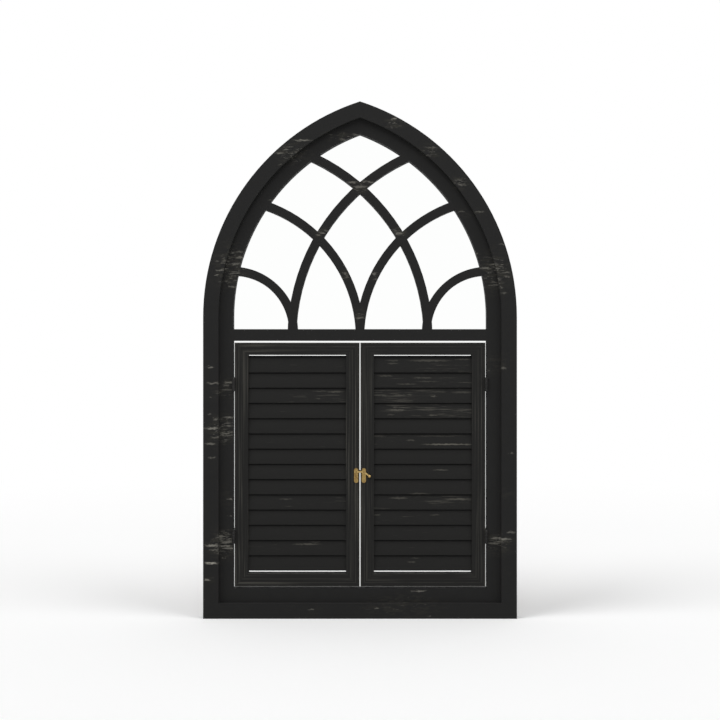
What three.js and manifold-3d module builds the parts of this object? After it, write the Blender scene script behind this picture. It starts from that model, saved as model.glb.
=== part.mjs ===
import * as THREE from "three";
import { mergeVertices } from "three/addons/utils/BufferGeometryUtils.js";
import Module from "manifold-3d";

// A pointed-arch mirror with window tracery above and a pair of louvred shutter doors below.
// Millimetres: X to the right, Y from the front to the back, Z up, origin in the middle of the base.

// Outer frame: a raised band round the whole outline, rebated behind
const frameWidth = 610;
const springHeight = 587; // the jambs end here and the arch begins
const archRadius = 440; // outside of each half of the arch
const bandWidth = 30;
const bandDepth = 12; // the band stands this far in front of the face panel
const rebateWidth = 10; // ledge behind the band, which the boards lie on
const boardFit = 0.4; // round the edge of a board in the rebate
const mirrorFit = 1.5; // round the edge of the glass

// Boards, from the front to the back
const panelThickness = 12;
const mirrorThickness = 3;
const backThickness = 4;
const backRecess = 1; // from the back board to the back of the frame

// Face panel
const faceWidth = 27.4; // shown between the band and the openings
const sillHeight = 57; // bottom of the door opening
const headDrop = 46.4; // from the springing down to the top of the door opening
const transomHeight = 22.6;

// Tracery: bars of one width that spring upright from the transom and bend as arcs. A bar springs
// at springX, and its arc's centre lies drop below the top of the transom. Each has a mirrored twin.
const barWidth = 16.8;
const barSweep = 100; // degrees, long enough to end in the arch
const crossBar = { springX: -133.2, radius: 388.5, drop: 16.4, turn: 1 };
const middleBar = { springX: 0, radius: 273.5, drop: 16.7, turn: -1 };
const cornerBar = { springX: -130.2, radius: 118.2, drop: 4.7, turn: -1 };

// Doors
const doorBackGap = 1; // from a door to the glass
const doorSideGap = 2.7;
const doorCentreGap = 1.6;
const doorTopGap = 3.6;
const doorBottomGap = 3.8;
const stileWidth = 26.6;
const topRailHeight = 24.1;
const bottomRailHeight = 25.6;

// Slats, fixed in slots in the stiles
const slatCount = 14;
const slatWidth = 33.5;
const slatThickness = 2.8;
const slatTilt = 7.5; // degrees from upright, with the lower edge to the front
const slatEdgeRadius = 0.9;
const slatTopGap = 1.2; // from the first slat to the top rail
const slatBottomGap = 4.6; // from the last slat to the bottom rail
const slotDepth = 6;
const slotFit = 0.3; // round a slat in its slot
const slotEndFit = 0.5;

// Butt hinges, with the barrel in front of the gap at each side
const hingeHeight = 27;
const hingeFromTop = 81.5; // door top to the middle of the upper hinge
const hingeFromBottom = 97.7; // door bottom to the middle of the lower hinge
const barrelRadius = 3.25;
const pinRadius = 1.5;
const pinFit = 0.25;
const hingeFit = 0.3; // between knuckles, and from the barrel to the wood
const knuckleCount = 5; // the odd ones belong to the frame leaf
const leafThickness = 1.1;
const leafReach = 10; // how far a leaf goes in from the face

// Latch: a stud plate on the left door, and on the right door a plate that carries the hook lever
const plateWidth = 8.4;
const plateHeight = 28.7;
const plateThickness = 1.2;
const plateLap = 2.5; // overlap of a plate's two rounded halves, which leaves its waist
const plateInset = 2.5; // from the door's edge
const plateRise = 216.7; // door bottom to the middle of the plates
const studRadius = 1.3;
const studTip = 0.8; // stud in front of the lever
const mouthFit = 0.6; // round the stud in the hook's mouth
const hookRadius = 3.4;
const pivotRadius = 1.5;
const pivotHeadRadius = 2.4;
const pivotHeadThickness = 0.9;
const leverFit = 0.3;
const leverThickness = 1.8;
const leverWidth = 3;
const eyeRadius = 3.3;
const thumbLength = 13.8;
const thumbDroop = 37; // degrees below level
const ballRadius = 3.3;

// Keyhole hanger plates, let into the backs of the jambs
const hangerDrop = 32; // from the springing down to the middle of the plate
const hangerWidth = 14;
const hangerLength = 42;
const hangerThickness = 1.6;
const hangerFit = 0.3;
const keyholeRadius = 4.5;
const keySlotRadius = 2.2;
const keySlotRise = 12;
const keyPocketDepth = 8; // room for a screw head behind the plate

// Smoothness of round shapes
const archSteps = 32;
const barSteps = 28;
const cornerSteps = 1;
const barrelSides = 20;
const pinSides = 12;
const endSteps = 8;
const ballSides = 16;
const ballRings = 12;
const overcut = 1; // how far a cutting shape runs past the face that it opens

// Worked out from the sizes above
const degree = Math.PI / 180;
const frameDepth = bandDepth + panelThickness + mirrorThickness + backThickness + backRecess;
const frameFront = -frameDepth / 2;
const panelFront = frameFront + bandDepth;
const mirrorFront = panelFront + panelThickness;
const boardFront = mirrorFront + mirrorThickness;
const boardBack = boardFront + backThickness;
const frameBack = frameDepth / 2;
const rimWidth = bandWidth - rebateWidth;
const archCentre = archRadius - frameWidth / 2; // the left half's centre lies this far to the right
const openingInset = bandWidth + faceWidth;
const openingHalf = frameWidth / 2 - openingInset;
const headHeight = springHeight - headDrop; // top of the door opening
const transomTop = headHeight + transomHeight;
const panelInset = rimWidth + boardFit;
const doorBottom = sillHeight + doorBottomGap;
const doorTop = headHeight - doorTopGap;
const doorThickness = panelThickness - doorBackGap;
const doorWidth = openingHalf - doorSideGap - doorCentreGap / 2;
const doorEdge = doorSideGap / 2; // from the hinge axis, as are the next two
const doorEnd = doorEdge + doorWidth;
const latchReach = doorEnd - plateInset - plateWidth / 2;
const hingeX = openingHalf - doorSideGap / 2;
const hingeY = panelFront - hingeFit - barrelRadius;
const latchX = hingeX - latchReach;
const latchHeight = doorBottom + plateRise;
const hookHeight = latchHeight + plateHeight / 4;
const hangerHeight = springHeight - hangerDrop;

const woodPaint = { color: 0x272624, roughness: 0.62, metalness: 0 };
const doorPaint = { color: 0x2a2926, roughness: 0.6, metalness: 0 };
const silvering = { color: 0xf4f6f6, roughness: 0.02, metalness: 1 };
const hardboard = { color: 0x5d4630, roughness: 0.85, metalness: 0 };
const blackMetal = { color: 0x1c1b1a, roughness: 0.5, metalness: 0.6 };
const agedBrass = { color: 0xa8823f, roughness: 0.38, metalness: 1 };
const zincSteel = { color: 0xb4b5b2, roughness: 0.35, metalness: 1 };

const kernel = await Module();
kernel.setup();

// A closed geometry as a solid that can be joined and cut
function solidOf(geometry) {
  const shell = geometry.clone();
  shell.deleteAttribute("normal");
  shell.deleteAttribute("uv");
  const merged = mergeVertices(shell, 1e-4);
  return new kernel.Manifold(
    new kernel.Mesh({
      numProp: 3,
      vertProperties: new Float32Array(merged.attributes.position.array),
      triVerts: new Uint32Array(merged.index.array),
    }),
  );
}

// A solid as a geometry with flat faces
function geometryOf(solid) {
  const faces = solid.getMesh();
  const indexed = new THREE.BufferGeometry();
  indexed.setAttribute("position", new THREE.BufferAttribute(faces.vertProperties, 3));
  indexed.setIndex(new THREE.BufferAttribute(faces.triVerts, 1));
  const geometry = indexed.toNonIndexed();
  geometry.computeVertexNormals();
  return geometry;
}

function join(...solids) {
  return solids.reduce((whole, next) => whole.add(next));
}

function piece(name, shape, paint) {
  const geometry = shape.isBufferGeometry ? shape : geometryOf(shape);
  const mesh = new THREE.Mesh(geometry, new THREE.MeshStandardMaterial(paint));
  mesh.name = name;
  return mesh;
}

// Outlines are drawn in X and Z. steps + 1 points on an arc:
function arc(x, z, radius, from, to, steps) {
  return Array.from({ length: steps + 1 }, (_, i) => {
    const angle = from + ((to - from) * i) / steps;
    return new THREE.Vector2(x + radius * Math.cos(angle), z + radius * Math.sin(angle));
  });
}

function rectangle(x0, z0, x1, z1) {
  return [[x0, z0], [x1, z0], [x1, z1], [x0, z1]].map(([x, z]) => new THREE.Vector2(x, z));
}

// An upright bar with round ends
function pill(x, z, width, height) {
  const radius = width / 2;
  const lift = height / 2 - radius;
  return [
    ...arc(x, z + lift, radius, 0, Math.PI, endSteps),
    ...arc(x, z - lift, radius, Math.PI, 2 * Math.PI, endSteps),
  ];
}

function mirrored(points) {
  return points.map((p) => new THREE.Vector2(-p.x, p.y));
}

// An outline in X and Z, cut through by holes, as a board from one Y to another.
// Its faces get those Y values themselves, so boards that share a face share it to the last digit.
function board(points, front, back, holes = []) {
  const shape = new THREE.Shape(points);
  shape.holes = holes.map((hole) => new THREE.Path(hole));
  const geometry = new THREE.ExtrudeGeometry(shape, { depth: 1, bevelEnabled: false });
  const corners = geometry.attributes.position;
  for (let i = 0; i < corners.count; i++) {
    const y = corners.getZ(i) > 0.5 ? front : back;
    corners.setXYZ(i, corners.getX(i), y, corners.getY(i));
  }
  geometry.computeVertexNormals();
  return geometry;
}

function block(x0, y0, z0, x1, y1, z1) {
  return board(rectangle(x0, z0, x1, z1), y0, y1);
}

function uprightCylinder(radius, bottom, top, sides) {
  const geometry = new THREE.CylinderGeometry(radius, radius, top - bottom, sides);
  return geometry.rotateX(Math.PI / 2).translate(0, 0, (bottom + top) / 2);
}

// A stub that stands out to the front, from back to front
function stub(x, z, radius, front, back, sides) {
  const geometry = new THREE.CylinderGeometry(radius, radius, back - front, sides);
  return geometry.translate(x, (front + back) / 2, z);
}

// The left half of the arch at a distance in from the outside, from the springing to the apex
function archHalf(inset) {
  const radius = archRadius - inset;
  const apex = Math.PI - Math.acos(archCentre / radius);
  return arc(archCentre, springHeight, radius, Math.PI, apex, archSteps);
}

// The whole outline at a distance in from the outside, anticlockwise from a level bottom
function archOutline(inset, bottom) {
  const half = frameWidth / 2 - inset;
  const left = archHalf(inset);
  return [
    new THREE.Vector2(half, bottom),
    ...mirrored(left),
    ...left.slice(0, -1).reverse(),
    new THREE.Vector2(-half, bottom),
  ];
}

function outerFrame() {
  const group = new THREE.Group();
  for (const [name, side] of [["left", -1], ["right", 1]]) {
    group.add(piece(name + "_jamb", jamb(side), woodPaint));
    group.add(piece(name + "_arch", archPiece(side), woodPaint));
    group.add(hangerPlate(name, side));
  }
  const inside = frameWidth / 2;
  const band = block(bandWidth - inside, frameFront, 0, inside - bandWidth, panelFront, bandWidth);
  const rim = block(rimWidth - inside, panelFront, 0, inside - rimWidth, frameBack, rimWidth);
  group.add(piece("bottom_rail", join(solidOf(band), solidOf(rim)), woodPaint));
  return group;
}

// A jamb's section is an L: the rim through the whole depth, and the wider band in front
function jamb(side) {
  const outside = (side * frameWidth) / 2;
  const bandEdge = outside - side * bandWidth;
  const rimEdge = outside - side * rimWidth;
  const band = block(outside, frameFront, 0, bandEdge, panelFront, springHeight);
  const rim = block(outside, frameFront, 0, rimEdge, frameBack, springHeight);
  const x = hangerX(side);
  const recess = pill(x, hangerHeight, hangerWidth + 2 * hangerFit, hangerLength + 2 * hangerFit);
  const seat = board(recess, frameBack - hangerThickness, frameBack + overcut);
  const pocketHeight = keySlotRise + 2 * keyholeRadius;
  const pocket = pill(x, hangerHeight, 2 * keyholeRadius, pocketHeight);
  const room = board(pocket, frameBack - hangerThickness - keyPocketDepth, frameBack + overcut);
  return join(solidOf(band), solidOf(rim)).subtract(solidOf(seat)).subtract(solidOf(room));
}

function archPiece(side) {
  const ring = (inset) => {
    const points = [...archHalf(0), ...archHalf(inset).reverse()];
    return side < 0 ? points : mirrored(points);
  };
  const band = board(ring(bandWidth), frameFront, panelFront);
  const rim = board(ring(rimWidth), frameFront, frameBack);
  return join(solidOf(band), solidOf(rim));
}

function hangerX(side) {
  return (side * (frameWidth - rimWidth)) / 2;
}

// A steel plate with a keyhole: the round end takes a screw head and the narrow end holds it
function hangerPlate(name, side) {
  const back = frameBack;
  const front = frameBack - hangerThickness;
  const low = hangerHeight - keySlotRise / 2;
  const plate = board(pill(0, hangerHeight, hangerWidth, hangerLength), front, back);
  const head = stub(0, low, keyholeRadius, front - overcut, back + overcut, barrelSides);
  const slot = pill(0, low + keySlotRise / 2, 2 * keySlotRadius, keySlotRise + 2 * keySlotRadius);
  const cut = join(solidOf(head), solidOf(board(slot, front - overcut, back + overcut)));
  const mesh = piece(name + "_hanger_plate", solidOf(plate).subtract(cut), zincSteel);
  mesh.position.x = hangerX(side);
  return mesh;
}

// One tracery bar: upright where it springs, then an arc to the right (turn 1) or the left (turn -1)
function traceryBar({ springX, radius, drop, turn }) {
  const x = springX + turn * radius;
  const z = transomTop - drop;
  const from = turn > 0 ? Math.PI : 0;
  const to = from - turn * barSweep * degree;
  const outer = arc(x, z, radius + barWidth / 2, from, to, barSteps);
  const inner = arc(x, z, radius - barWidth / 2, from, to, barSteps);
  return [...outer, ...inner.reverse()];
}

function facePanel() {
  const group = new THREE.Group();
  const outline = archOutline(panelInset, headHeight);
  const opening = archOutline(openingInset, transomTop);
  const surround = solidOf(board(outline, panelFront, mirrorFront, [opening]));
  const bars = [crossBar, middleBar, cornerBar]
    .map(traceryBar)
    .flatMap((points) => [points, mirrored(points)])
    .map((points) => solidOf(board(points, panelFront, mirrorFront)));
  const whole = solidOf(board(outline, panelFront, mirrorFront));
  const tracery = join(surround, join(...bars).intersect(whole));
  group.add(piece("tracery_panel", tracery, woodPaint));

  const edge = frameWidth / 2 - panelInset;
  for (const [name, side] of [["left", -1], ["right", 1]]) {
    const stile = [side * edge, panelFront, panelInset, side * openingHalf, mirrorFront, headHeight];
    group.add(piece(name + "_door_surround", block(...stile), woodPaint));
  }
  const sill = block(-openingHalf, panelFront, panelInset, openingHalf, mirrorFront, sillHeight);
  group.add(piece("bottom_door_surround", sill, woodPaint));
  return group;
}

function glassAndBack() {
  const group = new THREE.Group();
  const glassInset = rimWidth + mirrorFit;
  const glass = board(archOutline(glassInset, glassInset), mirrorFront, boardFront);
  group.add(piece("mirror_glass", glass, silvering));
  const back = board(archOutline(panelInset, panelInset), boardFront, boardBack);
  group.add(piece("back_board", back, hardboard));
  return group;
}

// A slat's section, centred on the X axis, with round edges, in Y (as x) and Z
function slatSection(thickness, width, radius) {
  const y = thickness / 2 - radius;
  const z = width / 2 - radius;
  const corner = (cy, cz, from) => arc(cy, cz, radius, from, from + Math.PI / 2, cornerSteps);
  return [
    ...corner(y, z, 0),
    ...corner(-y, z, Math.PI / 2),
    ...corner(-y, -z, Math.PI),
    ...corner(y, -z, 1.5 * Math.PI),
  ];
}

// A bar of that section from x = 0 to x = length, tilted so that its lower edge comes forward
function slatBar(section, length) {
  const geometry = new THREE.ExtrudeGeometry(new THREE.Shape(section), {
    depth: length,
    bevelEnabled: false,
  });
  // the section's x becomes Y and its y becomes Z
  geometry.rotateY(Math.PI / 2).rotateX(Math.PI / 2);
  return geometry.rotateX(-slatTilt * degree);
}

const doorFrontY = panelFront - hingeY; // in a door's group, whose origin is on its hinge axis
const doorBackY = doorFrontY + doorThickness;
const doorMiddleY = (doorFrontY + doorBackY) / 2;
const slatRise = slatWidth * Math.cos(slatTilt * degree) + slatThickness * Math.sin(slatTilt * degree);
const firstSlatHeight = doorTop - topRailHeight - slatTopGap - slatRise / 2;
const lastSlatHeight = doorBottom + bottomRailHeight + slatBottomGap + slatRise / 2;
const slatPitch = (firstSlatHeight - lastSlatHeight) / (slatCount - 1);
const louvreStart = doorEdge + stileWidth;
const louvreEnd = doorEnd - stileWidth;
const slatHeights = Array.from({ length: slatCount }, (_, i) => firstSlatHeight - i * slatPitch);

// A door in a group whose origin is on its hinge axis. inward is 1 where the door lies to the right of it.
function door(name, inward) {
  const group = new THREE.Group();
  group.position.set(-inward * hingeX, hingeY, 0);
  const frameBoard = (corners) => {
    const points = corners.map(([reach, z]) => new THREE.Vector2(inward * reach, z));
    return solidOf(board(points, doorFrontY, doorBackY));
  };
  const bottom = doorBottom + bottomRailHeight;
  const top = doorTop - topRailHeight;
  const slots = join(...slatHeights.map((height) => slot(inward, height)));

  // four boards, mitred from the door's corners to the corners of the louvred field
  const hingeStile = [[doorEdge, doorBottom], [louvreStart, bottom], [louvreStart, top], [doorEdge, doorTop]];
  const meetingStile = [[doorEnd, doorBottom], [louvreEnd, bottom], [louvreEnd, top], [doorEnd, doorTop]];
  const topRail = [[doorEdge, doorTop], [louvreStart, top], [louvreEnd, top], [doorEnd, doorTop]];
  const lowRail = [[doorEdge, doorBottom], [louvreStart, bottom], [louvreEnd, bottom], [doorEnd, doorBottom]];
  group.add(piece(name + "_hinge_stile", frameBoard(hingeStile).subtract(slots), doorPaint));
  group.add(piece(name + "_meeting_stile", frameBoard(meetingStile).subtract(slots), doorPaint));
  group.add(piece(name + "_top_rail", frameBoard(topRail), doorPaint));
  group.add(piece(name + "_bottom_rail", frameBoard(lowRail), doorPaint));

  const section = slatSection(slatThickness, slatWidth, slatEdgeRadius);
  const slotReach = slotDepth - slotEndFit;
  const length = louvreEnd - louvreStart + 2 * slotReach;
  slatHeights.forEach((height, i) => {
    const number = String(i + 1).padStart(2, "0");
    const slat = piece(name + "_slat_" + number, slatBar(section, length), doorPaint);
    const start = inward > 0 ? louvreStart - slotReach : -louvreEnd - slotReach;
    slat.position.set(start, doorMiddleY, height);
    group.add(slat);
  });
  for (const [place, height] of hingeHeights) {
    group.add(doorLeaf(name + "_" + place + "_hinge_door_leaf", inward, height));
  }
  return group;
}

// The space that a slat's ends need in both stiles
function slot(inward, height) {
  const section = slatSection(slatThickness + 2 * slotFit, slatWidth + 2 * slotFit, slatEdgeRadius + slotFit);
  const length = louvreEnd - louvreStart + 2 * slotDepth;
  const start = inward > 0 ? louvreStart - slotDepth : -louvreEnd - slotDepth;
  return solidOf(slatBar(section, length).translate(start, doorMiddleY, height));
}

const hingeHeights = [["upper", doorTop - hingeFromTop], ["lower", doorBottom + hingeFromBottom]];
const knuckleHeight = (hingeHeight - (knuckleCount - 1) * hingeFit) / knuckleCount;

// The knuckles of one leaf, round the axis, each with the tab that joins it to the leaf.
// x0 and x1 are the leaf's faces; first is 0 for the frame leaf and 1 for the door leaf.
function knuckles(first, x0, x1) {
  const parts = [];
  for (let i = first; i < knuckleCount; i += 2) {
    const bottom = i * (knuckleHeight + hingeFit) - hingeHeight / 2;
    const top = bottom + knuckleHeight;
    parts.push(solidOf(uprightCylinder(barrelRadius, bottom, top, barrelSides)));
    parts.push(solidOf(block(x0, 0, bottom, x1, doorFrontY + leafThickness, top)));
  }
  return join(...parts);
}

function leafPlate(x0, x1) {
  return solidOf(block(x0, doorFrontY, -hingeHeight / 2, x1, doorFrontY + leafReach, hingeHeight / 2));
}

// On the edge of the opening, with the pin through all the knuckles
function frameLeaf(name, inward, height) {
  const outer = -inward * doorEdge;
  const inner = outer + inward * leafThickness;
  const pin = solidOf(uprightCylinder(pinRadius, -hingeHeight / 2, hingeHeight / 2, pinSides));
  const leaf = piece(name, join(leafPlate(outer, inner), knuckles(0, outer, inner), pin), blackMetal);
  leaf.position.set(-inward * hingeX, hingeY, height);
  return leaf;
}

// On the edge of the door, bored for the pin
function doorLeaf(name, inward, height) {
  const outer = inward * doorEdge;
  const inner = outer - inward * leafThickness;
  const bore = solidOf(uprightCylinder(pinRadius + pinFit, -hingeHeight, hingeHeight, pinSides));
  const leaf = join(leafPlate(outer, inner), knuckles(1, outer, inner)).subtract(bore);
  const mesh = piece(name, leaf, blackMetal);
  mesh.position.z = height;
  return mesh;
}

// A latch plate in two rounded halves, in front of a door's face
function latchPlate() {
  const back = doorFrontY;
  const half = plateHeight / 2 + plateLap;
  const lift = plateHeight / 2 - half / 2;
  return join(
    solidOf(board(pill(0, lift, plateWidth, half), back - plateThickness, back)),
    solidOf(board(pill(0, -lift, plateWidth, half), back - plateThickness, back)),
  );
}

const plateFrontY = doorFrontY - plateThickness;
const plateMiddleY = doorFrontY - plateThickness / 2; // studs and pivots are set this deep
const leverBackY = plateFrontY - leverFit;
const leverFrontY = leverBackY - leverThickness;
const pivotLift = hookHeight - latchHeight;

function catchPlate(inward) {
  const stud = stub(0, pivotLift, studRadius, leverFrontY - studTip, plateMiddleY, pinSides);
  const plate = piece("catch_plate", join(latchPlate(), solidOf(stud)), agedBrass);
  plate.position.set(inward * latchReach, 0, latchHeight);
  return plate;
}

function hookPlate(inward) {
  const headBack = leverFrontY - leverFit;
  const headFront = headBack - pivotHeadThickness;
  const pivot = stub(0, pivotLift, pivotRadius, (headFront + headBack) / 2, plateMiddleY, pinSides);
  const head = stub(0, pivotLift, pivotHeadRadius, headFront, headBack, barrelSides);
  const plate = piece("hook_plate", join(latchPlate(), solidOf(pivot), solidOf(head)), agedBrass);
  plate.position.set(inward * latchReach, 0, latchHeight);
  return plate;
}

// The lever lies level from its pivot to the stud, and its thumb end hangs to the other side
function hookLever(inward) {
  const span = -2 * latchX; // from the pivot to the stud
  const flat = (points) => solidOf(board(points, leverFrontY, leverBackY));
  const disc = (x, radius) => solidOf(stub(x, 0, radius, leverFrontY, leverBackY, barrelSides));
  const arm = flat(rectangle(span, -leverWidth / 2, 0, leverWidth / 2));
  const thumb = board(rectangle(0, -leverWidth / 2, thumbLength, leverWidth / 2), leverFrontY, leverBackY);
  thumb.rotateY(thumbDroop * degree);
  const ball = new THREE.SphereGeometry(ballRadius, ballSides, ballRings).translate(
    thumbLength * Math.cos(thumbDroop * degree),
    leverBackY - ballRadius,
    -thumbLength * Math.sin(thumbDroop * degree),
  );
  const cutFront = leverFrontY - overcut;
  const cutBack = leverBackY + overcut;
  const eye = stub(0, 0, pivotRadius + leverFit, cutFront, cutBack, pinSides);
  const mouthRadius = studRadius + mouthFit;
  const mouthTop = stub(span, 0, mouthRadius, cutFront, cutBack, pinSides);
  const mouth = block(span - mouthRadius, cutFront, -2 * hookRadius, span + mouthRadius, cutBack, 0);
  const lever = join(arm, disc(0, eyeRadius), disc(span, hookRadius), solidOf(thumb), solidOf(ball))
    .subtract(solidOf(eye))
    .subtract(solidOf(mouthTop))
    .subtract(solidOf(mouth));
  const mesh = piece("hook_lever", lever, agedBrass);
  mesh.position.set(inward * latchReach, 0, hookHeight);
  return mesh;
}

const shutterMirror = new THREE.Group();
shutterMirror.add(outerFrame(), facePanel(), glassAndBack());
for (const [name, inward] of [["left_door", 1], ["right_door", -1]]) {
  for (const [place, height] of hingeHeights) {
    shutterMirror.add(frameLeaf(name + "_" + place + "_hinge_frame_leaf", inward, height));
  }
}
const leftDoor = door("left_door", 1);
leftDoor.add(catchPlate(1));
const rightDoor = door("right_door", -1);
rightDoor.add(hookPlate(-1), hookLever(-1));
shutterMirror.add(leftDoor, rightDoor);

export default shutterMirror;
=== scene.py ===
import math

import bmesh
import bpy
from mathutils import Matrix, Vector, noise


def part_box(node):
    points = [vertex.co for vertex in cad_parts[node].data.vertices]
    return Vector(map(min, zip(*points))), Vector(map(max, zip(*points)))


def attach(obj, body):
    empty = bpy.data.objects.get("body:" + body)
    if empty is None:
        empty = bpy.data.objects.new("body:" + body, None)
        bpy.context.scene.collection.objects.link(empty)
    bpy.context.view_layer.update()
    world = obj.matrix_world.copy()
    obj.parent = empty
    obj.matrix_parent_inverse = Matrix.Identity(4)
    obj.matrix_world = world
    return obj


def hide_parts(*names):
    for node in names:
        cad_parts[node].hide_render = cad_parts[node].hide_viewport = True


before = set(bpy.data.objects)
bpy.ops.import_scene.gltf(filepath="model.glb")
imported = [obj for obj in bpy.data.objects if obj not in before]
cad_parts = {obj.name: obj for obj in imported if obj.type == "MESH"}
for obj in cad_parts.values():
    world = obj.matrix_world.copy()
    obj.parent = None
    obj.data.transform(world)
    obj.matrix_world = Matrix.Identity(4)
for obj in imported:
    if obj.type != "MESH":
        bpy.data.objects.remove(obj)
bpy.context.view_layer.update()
print("frame loaded:", len(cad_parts), "nodes")

mm = 0.001
tiny = 0.02 * mm  # how near counts as the same place
doors = {"left_door": 1, "right_door": -1}  # 1 where the door lies to the right of its hinges

# Places that several pieces share, read off the frame
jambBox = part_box("left_jamb")
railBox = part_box("bottom_rail")
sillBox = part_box("bottom_door_surround")
outsideX = -jambBox[0].x
springZ = jambBox[1].z
frontY = jambBox[0].y
bandInnerX = outsideX - railBox[1].z  # the band is as wide at the sides as it is high at the bottom
rimInnerX = railBox[1].x
openingX = sillBox[1].x
sillZ = sillBox[1].z
panelY = sillBox[0].y
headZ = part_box("left_door_surround")[1].z
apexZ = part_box("left_arch")[1].z


# ---- nodes of a material

def plug(tree, socket, value):
    if isinstance(value, bpy.types.NodeSocket):
        tree.links.new(value, socket)
    else:
        socket.default_value = value


def addNode(tree, kind, settings, inputs):
    made = tree.nodes.new("ShaderNode" + kind)
    for name, value in settings.items():
        setattr(made, name, value)
    for name, value in inputs.items():
        plug(tree, made.inputs[name], value)
    return made


def calc(tree, operation, *values):
    made = tree.nodes.new("ShaderNodeMath")
    made.operation = operation
    for socket, value in zip(made.inputs, values):
        plug(tree, socket, value)
    return made.outputs[0]


def times(tree, first, second):
    return calc(tree, "MULTIPLY", first, second)


def blendColours(tree, amount, first, second):
    made = tree.nodes.new("ShaderNodeMix")
    made.data_type = "RGBA"
    for index, value in ((0, amount), (6, first), (7, second)):
        plug(tree, made.inputs[index], value)
    return made.outputs[2]


def softStep(tree, value, low, high):
    inputs = {"Value": value, "From Min": low, "From Max": high}
    return addNode(tree, "MapRange", {"interpolation_type": "SMOOTHSTEP"}, inputs).outputs[0]


# Noise that is fine or long along each axis: grain is how many waves fit in a metre of X, Y and Z, and
# shift keeps two noises from falling on each other
def grainNoise(tree, place, grain, shift=0.0, detail=3.0, rough=0.55):
    shifted = {"Vector": place, "Scale": grain, "Location": (shift, shift, shift)}
    mapped = addNode(tree, "Mapping", {}, shifted).outputs[0]
    inputs = {"Vector": mapped, "Scale": 1.0, "Detail": detail, "Roughness": rough}
    return addNode(tree, "TexNoise", {}, inputs).outputs[0]


# The value that shaping wrote on the mesh under this name
def layerValue(tree, name):
    return addNode(tree, "Attribute", {"attribute_name": name}, {}).outputs["Fac"]


def newMaterial(name):
    material = bpy.data.materials.new(name)
    material.use_nodes = True
    tree = material.node_tree
    shader = tree.nodes["Principled BSDF"]
    place = tree.nodes.new("ShaderNodeTexCoord").outputs["Object"]
    return material, tree, shader, place


# rough is the least roughness and what the noise adds, relief is how high and how strong the bumps are
def surface(tree, shader, rough, roughNoise, relief, height):
    least, more = rough
    plug(tree, shader.inputs["Roughness"], calc(tree, "ADD", least, times(tree, roughNoise, more)))
    distance, strength = relief
    bump = addNode(tree, "Bump", {}, {"Height": height, "Distance": distance, "Strength": strength})
    tree.links.new(bump.outputs[0], shader.inputs["Normal"])


# ---- painted wood

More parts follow.
